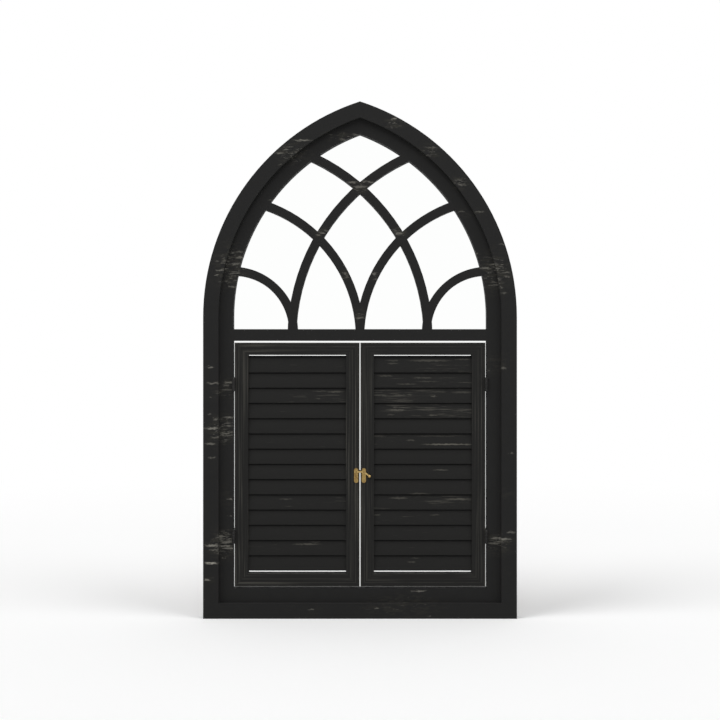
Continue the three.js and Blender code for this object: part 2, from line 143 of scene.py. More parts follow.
# In every look below, limits are where a noise begins to count and where it counts in full, and a share
# is how much of it shows
framePaint = {
    "colour": (0.0140, 0.0139, 0.0136, 1),
    "dusty": (0.034, 0.0325, 0.0265, 1),  # thin paint round the scratches
    "bare": (0.36, 0.345, 0.30, 1),  # primer and wood that show where the paint is rubbed
    "shine": 0.12,
    "rough": (0.58, 0.16),
    "relief": (0.25 * mm, 0.5),
    "mottle": {"grain": (60, 60, 60), "shift": 8.0},
    "mottleLimits": (0.3, 0.75),
    "mottleLighter": 1.15,
    "mottleHeight": 0.25,
    "haze": {"grain": (70, 70, 240), "shift": 6.6},
    "hazeLimits": (0.42, 0.66),
    "hazeShare": 0.8,
    # faint wear away from the patches
    "drift": {"grain": (9, 9, 13), "shift": 3.1, "detail": 2.0},
    "driftLimits": (0.60, 0.74),
    "driftShare": 0.3,
    # streaks and specks show where their noise is over the edge, which wear brings down
    "edge": 0.74,
    "edgeDrop": 0.22,
    "streak": {"grain": (44, 44, 360), "shift": 1.7, "detail": 4.0, "rough": 0.62},
    "streakFade": 0.10,
    "speck": {"grain": (120, 120, 560), "shift": 5.2, "rough": 0.6},
    "speckFade": 0.09,
    "speckHigher": 0.02,
    "speckShare": 0.6,
    "noiseShare": 0.5,
    # worn places on the front, in millimetres: X, Z, half the width, half the height, how worn
    "patches": [
        (-262, 447, 30, 24, 0.75), (-268, 366, 34, 36, 0.85), (-264, 146, 36, 34, 1.0),
        (-290, 78, 16, 8, 0.6), (-260, 232, 18, 30, 0.35), (-252, 684, 40, 50, 0.85),
        (-132, 905, 40, 24, 0.85), (-40, 940, 34, 12, 0.75), (66, 962, 24, 14, 0.8),
        (134, 908, 28, 16, 0.8), (196, 848, 22, 16, 0.85), (212, 790, 34, 10, 0.45),
        (262, 676, 36, 46, 0.85), (262, 496, 32, 24, 0.45), (268, 146, 34, 26, 0.85),
        (284, 244, 18, 12, 0.35), (0, 838, 20, 14, 0.9), (-78, 752, 16, 14, 0.85),
        (78, 752, 16, 14, 0.85), (-30, 668, 14, 12, 0.8), (30, 668, 14, 12, 0.8), (0, 590, 14, 16, 0.8),
        (84, 24, 85, 26, 0.6), (-96, 16, 26, 14, 0.25),
    ],
    # single scratches in the same measures, the last number how bare
    "scratches": [
        (-9, 943, 9, 1.4, 0.26), (-33, 933, 6, 2.0, 0.20), (-112, 930, 17, 1.8, 0.40),
        (-157, 905, 9, 2.0, 0.34), (-155, 883, 3, 1.6, 0.18), (-173, 816, 4, 1.5, 0.17),
        (-235, 714, 8, 1.8, 0.22), (-234, 703, 9, 2.2, 0.32), (-263, 697, 2, 1.6, 0.26),
        (-279, 695, 6, 1.5, 0.18), (-271, 677, 7, 1.3, 0.34), (-279, 668, 5, 1.6, 0.48),
        (-249, 667, 6, 1.6, 0.24), (-244, 659, 4, 1.5, 0.20), (-251, 646, 8, 1.6, 0.32),
        (-272, 655, 5, 1.3, 0.16), (-67, 756, 5, 2.0, 0.18), (-73, 750, 5, 1.6, 0.42),
        (-16, 850, 10, 2.0, 0.30), (0, 841, 16, 2.0, 0.34), (9, 851, 5, 2.0, 0.24),
        (20, 850, 5, 2.0, 0.30), (-28, 671, 3, 2.6, 0.30), (28, 671, 4, 2.6, 0.36),
        (0, 585, 8, 1.6, 0.30), (68, 972, 5, 2.0, 0.50), (67, 964, 3, 1.5, 0.24),
        (138, 916, 13, 1.2, 0.20), (198, 844, 7, 2.0, 0.24), (198, 792, 5, 1.2, 0.20),
        (232, 791, 8, 1.5, 0.24), (67, 756, 4, 2.0, 0.17), (73, 749, 5, 2.2, 0.36),
        (275, 728, 5, 1.2, 0.20), (230, 711, 3, 1.6, 0.20), (243, 682, 9, 2.2, 0.32),
        (266, 678, 3, 1.6, 0.30), (249, 674, 3, 2.0, 0.22), (284, 673, 8, 1.6, 0.25),
        (287, 665, 6, 1.5, 0.28), (262, 655, 6, 1.8, 0.18), (263, 649, 7, 1.4, 0.18),
        (274, 644, 4, 2.2, 0.22), (281, 633, 8, 2.0, 0.20), (-291, 489, 5, 1.6, 0.38),
        (-256, 459, 9, 2.0, 0.38), (-286, 458, 12, 2.0, 0.36), (-261, 453, 6, 1.6, 0.24),
        (-289, 431, 3, 1.6, 0.20), (-292, 398, 4, 1.6, 0.18), (-256, 391, 9, 2.0, 0.40),
        (-280, 388, 6, 2.2, 0.28), (-254, 374, 6, 2.2, 0.30), (-289, 370, 13, 2.2, 0.50),
        (-257, 356, 6, 1.5, 0.18), (-284, 352, 6, 1.6, 0.22), (-290, 340, 11, 1.6, 0.32),
        (-288, 313, 7, 1.5, 0.26), (-254, 232, 4, 1.6, 0.34), (-254, 199, 4, 1.5, 0.20),
        (-269, 169, 5, 1.3, 0.20), (-259, 148, 14, 2.2, 0.44), (-289, 142, 13, 2.2, 0.60),
        (-284, 134, 9, 1.6, 0.30), (-267, 116, 4, 1.5, 0.18), (-289, 108, 13, 2.0, 0.95),
        (-298, 76, 6, 2.2, 0.46), (280, 487, 6, 2.0, 0.22), (250, 482, 3, 1.5, 0.18),
        (295, 322, 4, 1.5, 0.24), (294, 168, 6, 2.2, 0.26), (279, 155, 17, 2.0, 0.46),
        (272, 149, 9, 1.6, 0.30), (262, 145, 9, 1.8, 0.32), (115, 52, 14, 1.5, 0.38),
        (33, 20, 6, 1.6, 0.30), (-94, 18, 6, 1.2, 0.22), (135, 5, 4, 1.3, 0.18),
    ],
    "sway": 8 * mm,  # how far the noise moves the scratches' edges
}
# The noise that moves a spot's edges, how much further it does so sideways, and where a spot begins and
# where it is full, in shares of its half size
spotEdge = {"grain": (150, 150, 420), "detail": 4.0, "sideways": 3, "begins": 1.35, "full": 0.3}


# How worn the front is at a place: each spot is an ellipse that fades outwards from its middle
def wornSpots(tree, place, spots, sway=0.0):
    swayX, swayZ = spotEdge["sideways"] * sway, sway
    if sway:
        mapped = addNode(tree, "Mapping", {}, {"Vector": place, "Scale": spotEdge["grain"]}).outputs[0]
        inputs = {"Vector": mapped, "Scale": 1.0, "Detail": spotEdge["detail"]}
        ragged = addNode(tree, "TexNoise", {}, inputs).outputs["Color"]
        moved = {0: ragged, 1: (swayX, 0, swayZ), 2: place}
        place = addNode(tree, "VectorMath", {"operation": "MULTIPLY_ADD"}, moved).outputs[0]
    total = 0.0
    for x, z, halfWidth, halfHeight, amount in spots:
        across, up = 1 / (halfWidth * mm), 1 / (halfHeight * mm)
        middleX, middleZ = x * mm + swayX / 2, z * mm + swayZ / 2  # the noise is a half on average
        scaled = {0: place, 1: (across, 0, up), 2: (-middleX * across, 0, -middleZ * up)}
        fromMiddle = addNode(tree, "VectorMath", {"operation": "MULTIPLY_ADD"}, scaled).outputs[0]
        away = addNode(tree, "VectorMath", {"operation": "LENGTH"}, {0: fromMiddle}).outputs["Value"]
        spot = softStep(tree, away, spotEdge["begins"], spotEdge["full"])
        total = calc(tree, "MAXIMUM", total, times(tree, spot, amount))
    return total


def makeFramePaint():
    look = framePaint
    material, tree, shader, place = newMaterial("worn black paint")
    patches = wornSpots(tree, place, look["patches"])
    scratches = wornSpots(tree, place, look["scratches"], look["sway"])
    mottle, haze, drift, streak, speck = (grainNoise(tree, place, **look[key]) for key in (
        "mottle", "haze", "drift", "streak", "speck"))
    stray = times(tree, softStep(tree, drift, *look["driftLimits"]), look["driftShare"])
    worn = calc(tree, "MAXIMUM", patches, stray)
    edge = calc(tree, "SUBTRACT", look["edge"], times(tree, worn, look["edgeDrop"]))
    scratch = softStep(tree, calc(tree, "SUBTRACT", streak, edge), 0.0, look["streakFade"])
    speckEdge = calc(tree, "ADD", edge, look["speckHigher"])
    fleck = softStep(tree, calc(tree, "SUBTRACT", speck, speckEdge), 0.0, look["speckFade"])
    fine = calc(tree, "MAXIMUM", scratch, times(tree, fleck, look["speckShare"]))
    fine = times(tree, fine, times(tree, worn, look["noiseShare"]))
    through = calc(tree, "MAXIMUM", fine, scratches)
    lighter = tuple(c * look["mottleLighter"] for c in look["colour"][:3]) + (1,)
    fresh = blendColours(tree, softStep(tree, mottle, *look["mottleLimits"]), look["colour"], lighter)
    thin = times(tree, softStep(tree, haze, *look["hazeLimits"]), times(tree, worn, look["hazeShare"]))
    paint = blendColours(tree, thin, fresh, look["dusty"])
    plug(tree, shader.inputs["Base Color"], blendColours(tree, through, paint, look["bare"]))
    shader.inputs["Specular IOR Level"].default_value = look["shine"]
    height = calc(tree, "SUBTRACT", times(tree, mottle, look["mottleHeight"]), through)
    surface(tree, shader, look["rough"], mottle, look["relief"], height)
    return material


doorPaint = {
    "colour": (0.0138, 0.0136, 0.0130, 1),
    "rubbed": (0.15, 0.144, 0.124, 1),
    "shine": 0.12,
    "rough": (0.56, 0.2),
    "relief": (0.12 * mm, 0.5),
    # waves in a metre along a board and across it
    "lines": {"along": 4.5, "across": 330, "shift": 2.3, "detail": 2.0, "rough": 0.5},
    "lineLimits": (0.48, 0.72),
    "lineShare": 0.30,
    "fade": {"along": 5, "across": 5, "shift": 9.4, "detail": 1.0},  # where the lines fade out
    "fadeLimits": (0.30, 0.60),
    "hairs": {"along": 18, "across": 900, "shift": 6.1, "rough": 0.6},
    "hairLimits": (0.66, 0.80),
    "hairShare": 0.35,
    "chips": {"along": 26, "across": 60, "shift": 3.8, "detail": 4.0, "rough": 0.6},
    "chipLimits": (0.25, 0.55),
    # faint rubbed ridges along a board: how far in from its outer edge, half their width, how strong
    "ridges": [(7.8 * mm, 1.2 * mm, 0.15), (14.2 * mm, 1.3 * mm, 0.09)],
    "ridgeLimits": (0.2, 0.6),
}


def boardNoise(tree, place, axis, along, across, **more):
    grain = tuple(along if i == axis else across for i in range(3))
    return grainNoise(tree, place, grain, **more)


# Paint over open grain: faint lighter lines run along the board, whose own direction is axis.
# Each face's "rub" says how bare it is, and "inset" is how far in from the board's outer edge.
def makeDoorPaint(name, axis):
    look = doorPaint
    material, tree, shader, place = newMaterial(name)
    lines, fade, hairs, chips = (boardNoise(tree, place, axis, **look[key]) for key in (
        "lines", "fade", "hairs", "chips"))
    rub, inset = layerValue(tree, "rub"), layerValue(tree, "inset")
    faded = softStep(tree, fade, *look["fadeLimits"])
    soft = times(tree, softStep(tree, lines, *look["lineLimits"]), faded)
    hairy = times(tree, softStep(tree, hairs, *look["hairLimits"]), look["hairShare"])
    grained = calc(tree, "MAXIMUM", times(tree, soft, look["lineShare"]), hairy)
    arris = times(tree, rub, softStep(tree, chips, *look["chipLimits"]))
    through = calc(tree, "MAXIMUM", grained, arris)
    for fromEdge, half, amount in look["ridges"]:
        away = calc(tree, "ABSOLUTE", calc(tree, "SUBTRACT", inset, fromEdge))
        ridge = times(tree, softStep(tree, away, half, 0.0), amount)
        broken = times(tree, ridge, softStep(tree, chips, *look["ridgeLimits"]))
        through = calc(tree, "ADD", through, broken)
    colour = blendColours(tree, through, look["colour"], look["rubbed"])
    plug(tree, shader.inputs["Base Color"], colour)
    shader.inputs["Specular IOR Level"].default_value = look["shine"]
    surface(tree, shader, look["rough"], hairs, look["relief"], calc(tree, "ADD", hairs, lines))
    return material


slatPaint = {
    "colour": (0.0138, 0.0136, 0.0130, 1),
    "rubbed": (0.20, 0.19, 0.16, 1),
    "paintedShade": (0.003, 0.003, 0.003, 1),  # painted shade: near-black colour under the slat above, standing in for the shadow there
    "paintedShadeFull": 4.4 * mm,  # how far below the slat's top the painted shade is full, and how far it reaches
    "paintedShadeEnds": 6.4 * mm,
    "shine": 0.12,
    "rough": (0.56, 0.2),
    "relief": (0.15 * mm, 0.5),
    "spread": {"grain": (7, 30, 30), "shift": 1.2, "detail": 2.0},  # where along a slat the wear lies
    "spreadLimits": (0.32, 0.62),
    # streaks and hairs show where their noise is over the edge, which wear brings down
    "edge": 0.72,
    "edgeDrop": 0.17,
    "streak": {"grain": (15, 420, 420), "shift": 4.4, "detail": 4.0, "rough": 0.6},
    "streakFade": 0.11,
    "streakShare": 0.22,
    "hair": {"grain": (26, 1100, 1100), "shift": 7.7, "rough": 0.6},
    "hairFade": 0.12,
    "hairShare": 0.16,
    # how worn each slat is, from the top
    "left_door": [0.45, 0.2, 0.85, 0.4, 0.2, 0.45, 0.12, 0.15, 0.15, 0.6, 0.15, 0.15, 0.5, 0.15],
    "right_door": [0.8, 0.65, 1.0, 1.0, 0.25, 0.8, 0.1, 0.3, 0.3, 0.95, 0.5, 0.35, 0.3, 0.6],
    # single streaks: X, Z, half the length, half the height in millimetres, how bare
    "scratches": [
        (-78, 442, 16, 1.2, 0.18), (-48, 441, 15, 1.8, 0.28), (-82, 428, 5, 1.2, 0.18),
        (-144, 231, 14, 1.2, 0.18), (-87, 147, 10, 1.2, 0.20), (-104, 143, 25, 1.6, 0.32),
        (136, 502, 40, 2.2, 0.26), (64, 502, 14, 1.6, 0.18), (64, 496, 12, 1.3, 0.20),
        (201, 504, 16, 1.2, 0.24), (49, 472, 16, 1.6, 0.22), (122, 468, 20, 1.5, 0.20),
        (131, 461, 22, 1.4, 0.15), (90, 456, 20, 1.2, 0.20), (201, 440, 22, 2.0, 0.18),
        (154, 441, 16, 1.4, 0.16), (76, 434, 14, 2.0, 0.24), (48, 433, 6, 1.6, 0.22),
        (97, 435, 7, 1.5, 0.18), (143, 432, 7, 1.4, 0.34), (69, 410, 6, 1.4, 0.26),
        (71, 405, 20, 1.8, 0.36), (131, 405, 9, 1.4, 0.18), (143, 395, 10, 1.4, 0.34),
        (198, 404, 20, 1.6, 0.16), (60, 396, 7, 1.4, 0.18), (36, 354, 14, 2.0, 0.15),
        (99, 346, 8, 1.6, 0.22), (150, 354, 50, 1.4, 0.12), (173, 338, 48, 1.5, 0.62),
        (158, 288, 14, 1.4, 0.26), (116, 242, 20, 1.6, 0.20), (75, 233, 18, 2.0, 0.26),
        (192, 231, 28, 2.0, 0.34), (33, 200, 8, 1.3, 0.18), (148, 200, 10, 1.3, 0.16),
        (108, 116, 9, 1.3, 0.16), (101, 108, 9, 1.4, 0.18),
    ],
    "sway": 5 * mm,
}


# The slats' paint is rubbed through in streaks along each slat, as much as its own "wear" says. "below" is
# how far a place lies below the slat's top; near the top, under the slat above, the colour is darkened to
# paint in the shade there.
def makeSlatPaint():
    look = slatPaint
    material, tree, shader, place = newMaterial("worn slat paint with painted shade")
    wear, below = layerValue(tree, "wear"), layerValue(tree, "below")
    spread, streak, hair = (grainNoise(tree, place, **look[key]) for key in ("spread", "streak", "hair"))
    worn = times(tree, wear, softStep(tree, spread, *look["spreadLimits"]))
    edge = calc(tree, "SUBTRACT", look["edge"], times(tree, worn, look["edgeDrop"]))
    rub = softStep(tree, calc(tree, "SUBTRACT", streak, edge), 0.0, look["streakFade"])
    scratch = softStep(tree, calc(tree, "SUBTRACT", hair, edge), 0.0, look["hairFade"])
    scratched = times(tree, scratch, look["hairShare"])
    noisy = calc(tree, "ADD", times(tree, rub, look["streakShare"]), scratched)
    through = calc(tree, "MAXIMUM", noisy, wornSpots(tree, place, look["scratches"], look["sway"]))
    colour = blendColours(tree, through, look["colour"], look["rubbed"])
    # painted shade: the slat's top is darkened where the slat above shades it
    paintedShadeMask = softStep(tree, below, look["paintedShadeEnds"], look["paintedShadeFull"])
    plug(tree, shader.inputs["Base Color"], blendColours(tree, paintedShadeMask, colour, look["paintedShade"]))
    shader.inputs["Specular IOR Level"].default_value = look["shine"]
    surface(tree, shader, look["rough"], hair, look["relief"], calc(tree, "SUBTRACT", hair, through))
    return material


# ---- glass, board and metals

mirror = {
    "colour": (0.985, 0.99, 0.985, 1),
    "haze": {"grain": (7, 7, 7), "shift": 0.6, "detail": 4.0},
    "hazeLimits": (0.45, 0.9),
    "hazeRough": 0.03,
}


def makeMirror():
    material, tree, shader, place = newMaterial("silvered glass")
    haze = softStep(tree, grainNoise(tree, place, **mirror["haze"]), *mirror["hazeLimits"])
    shader.inputs["Base Color"].default_value = mirror["colour"]
    shader.inputs["Metallic"].default_value = 1.0
    plug(tree, shader.inputs["Roughness"], times(tree, haze, mirror["hazeRough"]))
    return material


board = {
    "dark": (0.105, 0.062, 0.032, 1),
    "light": (0.145, 0.088, 0.047, 1),
    "fibres": (0.22, 0.145, 0.085, 1),
    "shine": 0.3,
    "rough": (0.62, 0.3),
    "relief": (0.1 * mm, 0.6),
    "cloud": {"grain": (14, 14, 14), "shift": 5.0},
    "cloudLimits": (0.3, 0.7),
    "fibre": {"grain": (420, 420, 420), "shift": 2.0, "detail": 5.0, "rough": 0.7},
    "fibreLimits": (0.35, 0.75),
}


def makeHardboard():
    material, tree, shader, place = newMaterial("brown hardboard")
    fibre, cloud = grainNoise(tree, place, **board["fibre"]), grainNoise(tree, place, **board["cloud"])
    base = blendColours(tree, softStep(tree, cloud, *board["cloudLimits"]), board["dark"], board["light"])
    colour = blendColours(tree, softStep(tree, fibre, *board["fibreLimits"]), base, board["fibres"])
    plug(tree, shader.inputs["Base Color"], colour)
    shader.inputs["Specular IOR Level"].default_value = board["shine"]
    surface(tree, shader, board["rough"], fibre, board["relief"], fibre)
    return material


# The roughness is told for the bright metal and for its dull spots, and fine is their waves in a metre
blackMetal = {"colour": (0.010, 0.010, 0.010, 1), "dull": (0.045, 0.043, 0.04, 1), "fine": 700,
              "metallic": 0.3, "brightRough": 0.5, "dullRough": 0.7}
agedBrass = {"colour": (0.31, 0.215, 0.078, 1), "dull": (0.15, 0.078, 0.028, 1), "fine": 330,
             "metallic": 1.0, "brightRough": 0.3, "dullRough": 0.5}
rubbedBrass = {"colour": (0.42, 0.30, 0.125, 1), "dull": (0.27, 0.17, 0.06, 1), "fine": 420,
               "metallic": 1.0, "brightRough": 0.34, "dullRough": 0.5}
zincSteel = {"colour": (0.52, 0.53, 0.53, 1), "dull": (0.33, 0.34, 0.35, 1), "fine": 260,
             "metallic": 1.0, "brightRough": 0.3, "dullRough": 0.5}
metalSpots = {
    "spot": {"shift": 3.3, "detail": 4.0, "rough": 0.6},
    "spotLimits": (0.38, 0.68),
    "cloud": {"shift": 1.1, "detail": 2.0},
    "cloudLimits": (0.30, 0.70),
    "cloudCoarser": 5,
    "relief": (0.05 * mm, 0.4),
    "paintShine": 0.25,  # for metal that is partly painted over
}


def makeMetal(name, look):
    material, tree, shader, place = newMaterial(name)
    fine, coarse = look["fine"], look["fine"] / metalSpots["cloudCoarser"]
    spots = grainNoise(tree, place, (fine, fine, fine), **metalSpots["spot"])
    cloud = grainNoise(tree, place, (coarse, coarse, coarse), **metalSpots["cloud"])
    amount = times(tree, softStep(tree, spots, *metalSpots["spotLimits"]),
                   softStep(tree, cloud, *metalSpots["cloudLimits"]))
    plug(tree, shader.inputs["Base Color"], blendColours(tree, amount, look["colour"], look["dull"]))
    shader.inputs["Metallic"].default_value = look["metallic"]
    if look["metallic"] < 1:
        shader.inputs["Specular IOR Level"].default_value = metalSpots["paintShine"]
    rough = (look["brightRough"], look["dullRough"] - look["brightRough"])
    surface(tree, shader, rough, amount, metalSpots["relief"], spots)
    return material


wornBlack = makeFramePaint()
uprightGrain = makeDoorPaint("door paint, upright grain", 2)
levelGrain = makeDoorPaint("door paint, level grain", 0)
wornSlatWithPaintedShade = makeSlatPaint()
silvered = makeMirror()
hardboard = makeHardboard()
blackened = makeMetal("blackened steel", blackMetal)
brass = makeMetal("aged brass", agedBrass)
handledBrass = makeMetal("brass rubbed by hands", rubbedBrass)
zinc = makeMetal("zinc plated steel", zincSteel)
print("materials made")


# ---- shaping

# A CAD node's corners nearer than join are one, and faces that turn less than flat degrees are one face
cleaning = {"join": 0.004 * mm, "flat": 0.4}
# In degrees: what counts as an edge to round, and up to what turn rounds and bends are shaded smooth
turns = {"edge": 30, "round": 60, "bend": 12}


# A CAD node's solid as whole flat faces, ready to have its edges rounded
def solidCopy(node):
    solid = bmesh.new()
    solid.from_mesh(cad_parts[node].data)
    bmesh.ops.remove_doubles(solid, verts=solid.verts, dist=cleaning["join"])
    bmesh.ops.dissolve_limit(solid, angle_limit=math.radians(cleaning["flat"]), verts=solid.verts,
                             edges=solid.edges)
    return solid


def cutAcross(solid, point, normal, keepAll=True):
    everything = solid.verts[:] + solid.edges[:] + solid.faces[:]
    return bmesh.ops.bisect_plane(solid, geom=everything, dist=tiny / 4, plane_co=point, plane_no=normal,
                                  clear_inner=not keepAll)


def middle(edge):
    return (edge.verts[0].co + edge.verts[1].co) / 2


def bevel(solid, edges, radius, segments, clamp):
    return bmesh.ops.bevel(solid, geom=edges, offset=radius, offset_type="OFFSET", affect="EDGES",
                           segments=segments, profile=0.5, material=-1, clamp_overlap=clamp)["faces"]


def turnAbout(solid, matrix):
    bmesh.ops.rotate(solid, cent=(0, 0, 0), matrix=matrix, verts=solid.verts)


def shadeSmooth(solid, upTo):
    for face in solid.faces:
        face.smooth = True
    for edge in solid.edges:
        edge.smooth = edge.calc_face_angle(0) < math.radians(upTo)


# Rounds the outward edges that wanted(middle of the edge) keeps, and shades the rounds and bends smooth
def roundEdges(solid, radius, wanted, segments=3, bend=turns["bend"]):
    sharp = [e for e in solid.edges if e.is_convex and len(e.link_faces) == 2
             and e.calc_face_angle(0) > math.radians(turns["edge"]) and wanted(middle(e))]
    rounds = set(bevel(solid, sharp, radius, segments, True))
    for face in solid.faces:
        face.smooth = True
    for edge in solid.edges:
        faces = edge.link_faces
        alike = len(faces) == 2 and (faces[0] in rounds) == (faces[1] in rounds)
        limit = turns["round"] if faces and faces[0] in rounds else bend
        edge.smooth = alike and edge.calc_face_angle(0) < math.radians(limit)
    return rounds


def addToScene(name, data):
    thing = bpy.data.objects.new(name, data)
    bpy.context.scene.collection.objects.link(thing)
    return thing


# Makes the piece from its solid, with its material, on its body, and hides the CAD node that it stands for
def finish(solid, name, material, body, node=None):
    mesh = bpy.data.meshes.new(name)
    solid.to_mesh(mesh)
    solid.free()
    mesh.materials.append(material)
    thing = addToScene(name, mesh)
    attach(thing, body)
    if node:
        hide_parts(node)


# ---- outer frame and face panel

frameEdges = {"outer": 0.5 * mm, "panel": 0.4 * mm, "tracery": 0.4 * mm}
hangerSeat = 2 * mm  # the edges stay sharp this far round a hanger plate's pocket


def finishFrame(solid, node):
    finish(solid, node + "_painted", wornBlack, "root", node)


def outerFrame():
    hangerLow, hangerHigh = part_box("left_hanger_plate")

    def jambArris(p):
        inSeat = (p.y > 0 and hangerLow.x - hangerSeat < -abs(p.x) < hangerHigh.x + hangerSeat
                  and hangerLow.z - hangerSeat < p.z < hangerHigh.z + hangerSeat)
        outer = abs(p.x) > outsideX - tiny
        return tiny < p.z < springZ - tiny and not inSeat and (outer or p.z > railBox[1].z + tiny)

    for side in ("left", "right"):
        jamb = solidCopy(side + "_jamb")
        cutAcross(jamb, (0, 0, railBox[1].z), (0, 0, 1))
        roundEdges(jamb, frameEdges["outer"], jambArris)
        finishFrame(jamb, side + "_jamb")
        arch = solidCopy(side + "_arch")
        roundEdges(arch, frameEdges["outer"], lambda p: p.z > springZ + tiny and abs(p.x) > tiny)
        finishFrame(arch, side + "_arch")
    rail = solidCopy("bottom_rail")
    roundEdges(rail, frameEdges["outer"], lambda p: abs(p.x) < bandInnerX - tiny)
    finishFrame(rail, "bottom_rail")


def facePanel():
    def onFront(p):
        return p.y < panelY + tiny

    def besideDoor(p):
        return onFront(p) and abs(p.x) < openingX + tiny and sillZ < p.z < headZ - tiny

    def underDoors(p):
        return onFront(p) and p.z > sillZ - tiny and abs(p.x) < tiny

    tracery = solidCopy("tracery_panel")
    roundEdges(tracery, frameEdges["tracery"], lambda p: onFront(p) and p.z > headZ + tiny)
    finishFrame(tracery, "tracery_panel")
    for side in ("left", "right"):
        stile = solidCopy(side + "_door_surround")
        cutAcross(stile, (0, 0, sillZ), (0, 0, 1))
        roundEdges(stile, frameEdges["panel"], besideDoor)
        finishFrame(stile, side + "_door_surround")
    sill = solidCopy("bottom_door_surround")
    roundEdges(sill, frameEdges["panel"], underDoors)
    finishFrame(sill, "bottom_door_surround")


outerFrame()
facePanel()
print("frame and face panel dressed")


# ---- doors

# inward is 1 where a board's outer edge is its low side, for the stiles on the left door
doorBoards = {
    "hinge_stile": {"paint": uprightGrain, "inward": 1},
    "meeting_stile": {"paint": uprightGrain, "inward": -1},
    "top_rail": {"paint": levelGrain, "inward": -1},
    "bottom_rail": {"paint": levelGrain, "inward": 1},
}
doorEdges = {"radius": 1.3 * mm, "outerRub": 0.6, "innerRub": 0.16, "rubbedStile": 0.6}


# Writes each face's "rub" and each corner's "inset" for the door paint. The board's outer edge is its low
# side along the axis where inward is 1, and its high side where it is -1.
def doorWear(solid, rounds, low, high, axis, inward, innerRub):
    rub = solid.faces.layers.float["rub"]
    inset = solid.verts.layers.float["inset"]
    outer = low[axis] if inward > 0 else high[axis]
    for vert in solid.verts:
        vert[inset] = abs(vert.co[axis] - outer)
    for face in rounds:
        isOuter = abs(face.calc_center_median()[axis] - outer) < 2 * doorEdges["radius"]
        face[rub] = doorEdges["outerRub"] if isOuter else innerRub


def doorFrame(name):
    for part, look in doorBoards.items():
        node = name + "_" + part
        low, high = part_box(node)
        upright = part.endswith("stile")
        across, along = (0, 2) if upright else (2, 0)
        centre = (low[along] + high[along]) / 2
        solid = solidCopy(node)

        # Only the long edges of the two faces, so that the mitres stay tight
        def longEdge(p):
            return (p.y < low.y + tiny or p.y > high.y - tiny) and abs(p[along] - centre) <= tiny

        # the layers have to be there before the edges are rounded
        solid.faces.layers.float.new("rub")
        solid.verts.layers.float.new("inset")
        rounds = roundEdges(solid, doorEdges["radius"], longEdge)
        inward = look["inward"] * (doors[name] if upright else 1)
        handled = name == "left_door" and part == "meeting_stile"
        innerRub = doorEdges["rubbedStile"] if handled else doorEdges["innerRub"]
        doorWear(solid, rounds, low, high, across, inward, innerRub)
        finish(solid, node + "_painted", look["paint"], name, node)


slat = {
    "width": 33.5 * mm,
    "thickness": 2.8 * mm,
    "tilt": 7.5,
    "nose": 0.9 * mm,
    "noseSegments": 4,
    "smoothUpTo": 40,
    # hand-rubbed edges aren't quite straight, but for the ends, which sit in the stiles
    "cuts": 26,
    "wobble": 0.3 * mm,
    "wobbleFrom": 0.8,  # share of half the width
    "straightEnds": 8 * mm,
    "waves": 38,  # in a metre
    # how far apart the noise is read for two slats, for the two edges of a slat and for the two doors
    "slatsApart": 5.3,
    "edgesApart": 3.0,
    "doorsApart": 40,  # in slats
}


def longEdges(solid):
    return [e for e in solid.edges if abs(e.verts[0].co.x - e.verts[1].co.x) > tiny]


def slatBody(node, wear, seed):
    low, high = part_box(node)
    solid = bmesh.new()
    bmesh.ops.create_cube(solid, size=1.0)
    length = high.x - low.x
    bmesh.ops.scale(solid, vec=(length, slat["thickness"], slat["width"]), verts=solid.verts)
    bevel(solid, longEdges(solid), slat["nose"], slat["noseSegments"], False)
    bmesh.ops.subdivide_edges(solid, edges=longEdges(solid), cuts=slat["cuts"], use_grid_fill=True)
    for vert in solid.verts:
        nearEdge = abs(vert.co.z) / (slat["width"] / 2) > slat["wobbleFrom"]
        if nearEdge and abs(vert.co.x) < length / 2 - slat["straightEnds"]:
            edgePlace = math.copysign(slat["edgesApart"], vert.co.z)
            wave = noise.noise(Vector((vert.co.x * slat["waves"], seed * slat["slatsApart"], edgePlace)))
            vert.co.z -= math.copysign(slat["wobble"] * max(0.0, wave), vert.co.z)
    turnAbout(solid, Matrix.Rotation(-math.radians(slat["tilt"]), 3, "X"))
    bmesh.ops.translate(solid, vec=(low + high) / 2, verts=solid.verts)
    shadeSmooth(solid, slat["smoothUpTo"])
    worn = solid.verts.layers.float.new("wear")
    # below feeds the painted shade under the slat above
    below = solid.verts.layers.float.new("below")
    for vert in solid.verts:
        vert[worn] = wear
        vert[below] = high.z - vert.co.z
    return solid


def louvres(name):
    for number, wear in enumerate(slatPaint[name], 1):
        node = "%s_slat_%02d" % (name, number)
        solid = slatBody(node, wear, number + slat["doorsApart"] * doors[name])
        finish(solid, node + "_painted", wornSlatWithPaintedShade, name, node)


for doorName in doors:
    doorFrame(doorName)
    louvres(doorName)
print("doors dressed")


# ---- hinges, latch and hangers

hardwareEdges = {"hinge": 0.25 * mm, "latch": 0.35 * mm, "hanger": 0.3 * mm, "segments": 2, "bend": 25}


def metalPiece(node, suffix, material, body, radius):
    solid = solidCopy(node)
    roundEdges(solid, radius, lambda p: True, hardwareEdges["segments"], hardwareEdges["bend"])
    finish(solid, node + suffix, material, body, node)


for doorName in doors:
    for place in ("upper", "lower"):
        hinge = doorName + "_" + place + "_hinge"
        for leaf, body in (("_frame_leaf", "root"), ("_door_leaf", doorName)):
            metalPiece(hinge + leaf, "_black", blackened, body, hardwareEdges["hinge"])
for node, material, body in (("catch_plate", brass, "left_door"), ("hook_plate", brass, "right_door"),
                             ("hook_lever", handledBrass, "hook")):
    metalPiece(node, "_brass", material, body, hardwareEdges["latch"])
for side in ("left", "right"):
    metalPiece(side + "_hanger_plate", "_zinc", zinc, "root", hardwareEdges["hanger"])
print("hardware dressed")


# ---- screws

